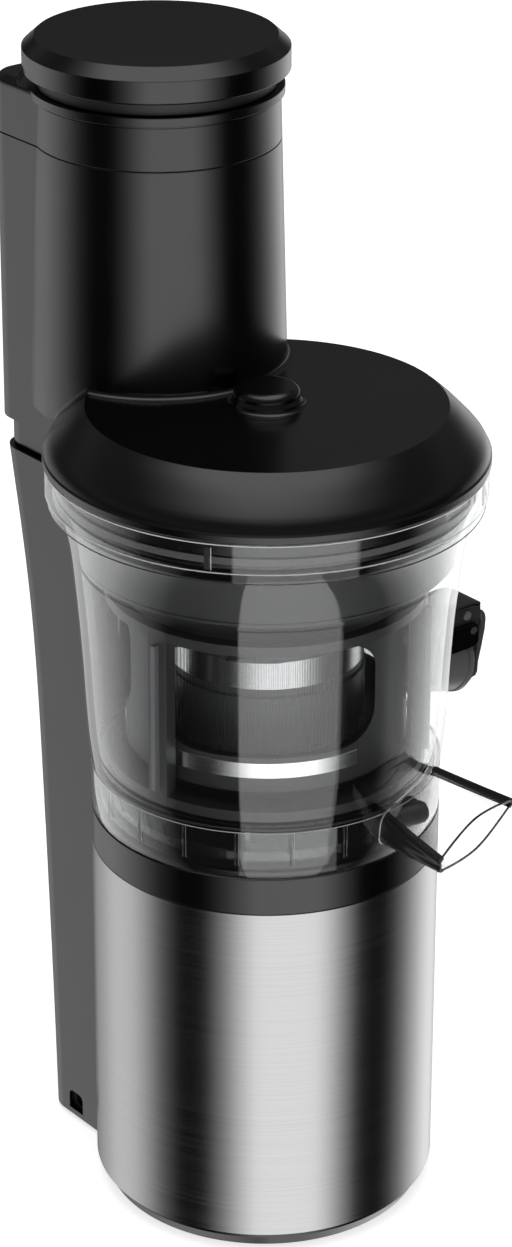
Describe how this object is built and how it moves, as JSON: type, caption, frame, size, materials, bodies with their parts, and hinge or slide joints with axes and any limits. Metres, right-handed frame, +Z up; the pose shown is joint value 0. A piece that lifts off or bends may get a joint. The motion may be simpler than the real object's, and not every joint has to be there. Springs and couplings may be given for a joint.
{
  "type": "cold press juicer",
  "caption": "Upright cold press juicer with a wide feed chute, clear bowl with strainer and auger, brushed steel base, rear column, pulp spout and drip-stop juice nozzle.",
  "frame": {"origin": "on the motor and auger axis, at the surface the feet stand on", "axes": "+Z up along the auger axis; -Y is the front, +Y the rear column; +X the side of the juice nozzle"},
  "size_m": [0.191, 0.2152, 0.4563],
  "materials": {
    "black_plastic": "satin moulded",
    "gloss_black": "satin gloss moulded",
    "brushed_steel": "vertical soft brushing",
    "clear_plastic": "polished clear",
    "smoke_plastic": "tinted, polished",
    "dark_plastic": "satin",
    "auger_plastic": "satin",
    "polished_steel": "polished",
    "bare_steel": "machined",
    "cast_alloy": "as cast",
    "bronze": "sintered",
    "rubber": "matt",
    "silicone": "matt",
    "circuit_board": "solder mask"
  },
  "bodies": {
    "base": {"foot_ring": "black_plastic", "base_plate": "black_plastic", "rubber_feet": "rubber", "base_screws": "bare_steel", "steel_sleeve": "brushed_steel", "inner_tub": "black_plastic", "collar": "gloss_black", "deck_screws": "bare_steel", "spindle_seal": "rubber", "gearbox_housing": "cast_alloy", "output_bearing": "bronze", "motor_can": "bare_steel", "motor_cradle": "rubber", "column_cover": "black_plastic", "column_front": "black_plastic", "cord_inlet": "rubber", "control_board": "circuit_board", "interlock_switch": "dark_plastic", "switch_bezel": "gloss_black"},
    "drive": {"output_shaft": "polished_steel"},
    "switch": {"switch_rocker": "gloss_black"},
    "bowl": {"bowl": "clear_plastic", "pulp_spout": "clear_plastic", "pulp_valve": "rubber", "juice_nozzle": "smoke_plastic", "flap_bracket": "gloss_black", "flap_pin": "bare_steel", "hub_seal": "silicone", "strainer_frame": "dark_plastic", "strainer_mesh": "bare_steel"},
    "flap": {"drip_flap": "gloss_black", "flap_seal": "silicone"},
    "auger": {"auger": "auger_plastic", "auger_band": "polished_steel", "auger_gear": "bare_steel"},
    "idler_right": {"idler_gear_right": "auger_plastic"},
    "idler_left": {"idler_gear_left": "auger_plastic"},
    "wiper": {"wiper_carrier": "smoke_plastic", "wiper_blades": "silicone"},
    "lid": {"lid": "black_plastic", "lid_bush": "bronze", "lid_gasket": "silicone", "lid_magnet": "bare_steel", "chute_collar": "black_plastic", "collar_seal": "rubber"},
    "pusher": {"pusher_cap": "gloss_black", "pusher_plunger": "black_plastic"}
  },
  "joints": [
    {"name": "switch_rock", "type": "hinge", "parent": "base", "child": "switch", "pos_m": [0.0413, 0.073, 0.1], "axis": [0, 1, 0], "range_deg": [-11, 11]},
    {"name": "drive_spin", "type": "hinge", "parent": "base", "child": "drive", "pos_m": [0, 0, 0.15], "axis": [0, 0, 1], "continuous": true},
    {"name": "bowl_lift", "type": "slide", "parent": "base", "child": "bowl", "axis": [0, 0, 1], "range_m": [0, 0.06]},
    {"name": "auger_spin", "type": "hinge", "parent": "bowl", "child": "auger", "pos_m": [0, 0, 0.206], "axis": [0, 0, 1], "continuous": true},
    {"name": "idler_right_spin", "type": "hinge", "parent": "bowl", "child": "idler_right", "pos_m": [0.02298, 0.01928, 0.189], "axis": [0, 0, 1], "continuous": true},
    {"name": "idler_left_spin", "type": "hinge", "parent": "bowl", "child": "idler_left", "pos_m": [-0.02989, 0.00262, 0.189], "axis": [0, 0, 1], "continuous": true},
    {"name": "wiper_spin", "type": "hinge", "parent": "bowl", "child": "wiper", "pos_m": [0, 0, 0.189], "axis": [0, 0, 1], "continuous": true},
    {"name": "flap_swing", "type": "hinge", "parent": "bowl", "child": "flap", "pos_m": [0.0975, 0, 0.2115], "axis": [0, -1, 0], "range_deg": [0, 100]},
    {"name": "lid_lift", "type": "slide", "parent": "bowl", "child": "lid", "axis": [0, 0, 1], "range_m": [0, 0.04]},
    {"name": "pusher_lift", "type": "slide", "parent": "lid", "child": "pusher", "axis": [0, 0, 1], "range_m": [0, 0.09]}
  ],
  "couplings": [
    {"joint": "drive_spin", "follows": "auger_spin", "ratio": 1},
    {"joint": "idler_right_spin", "follows": "auger_spin", "ratio": -1.5},
    {"joint": "idler_left_spin", "follows": "auger_spin", "ratio": -1.5},
    {"joint": "wiper_spin", "follows": "auger_spin", "ratio": -0.42857}
  ]
}
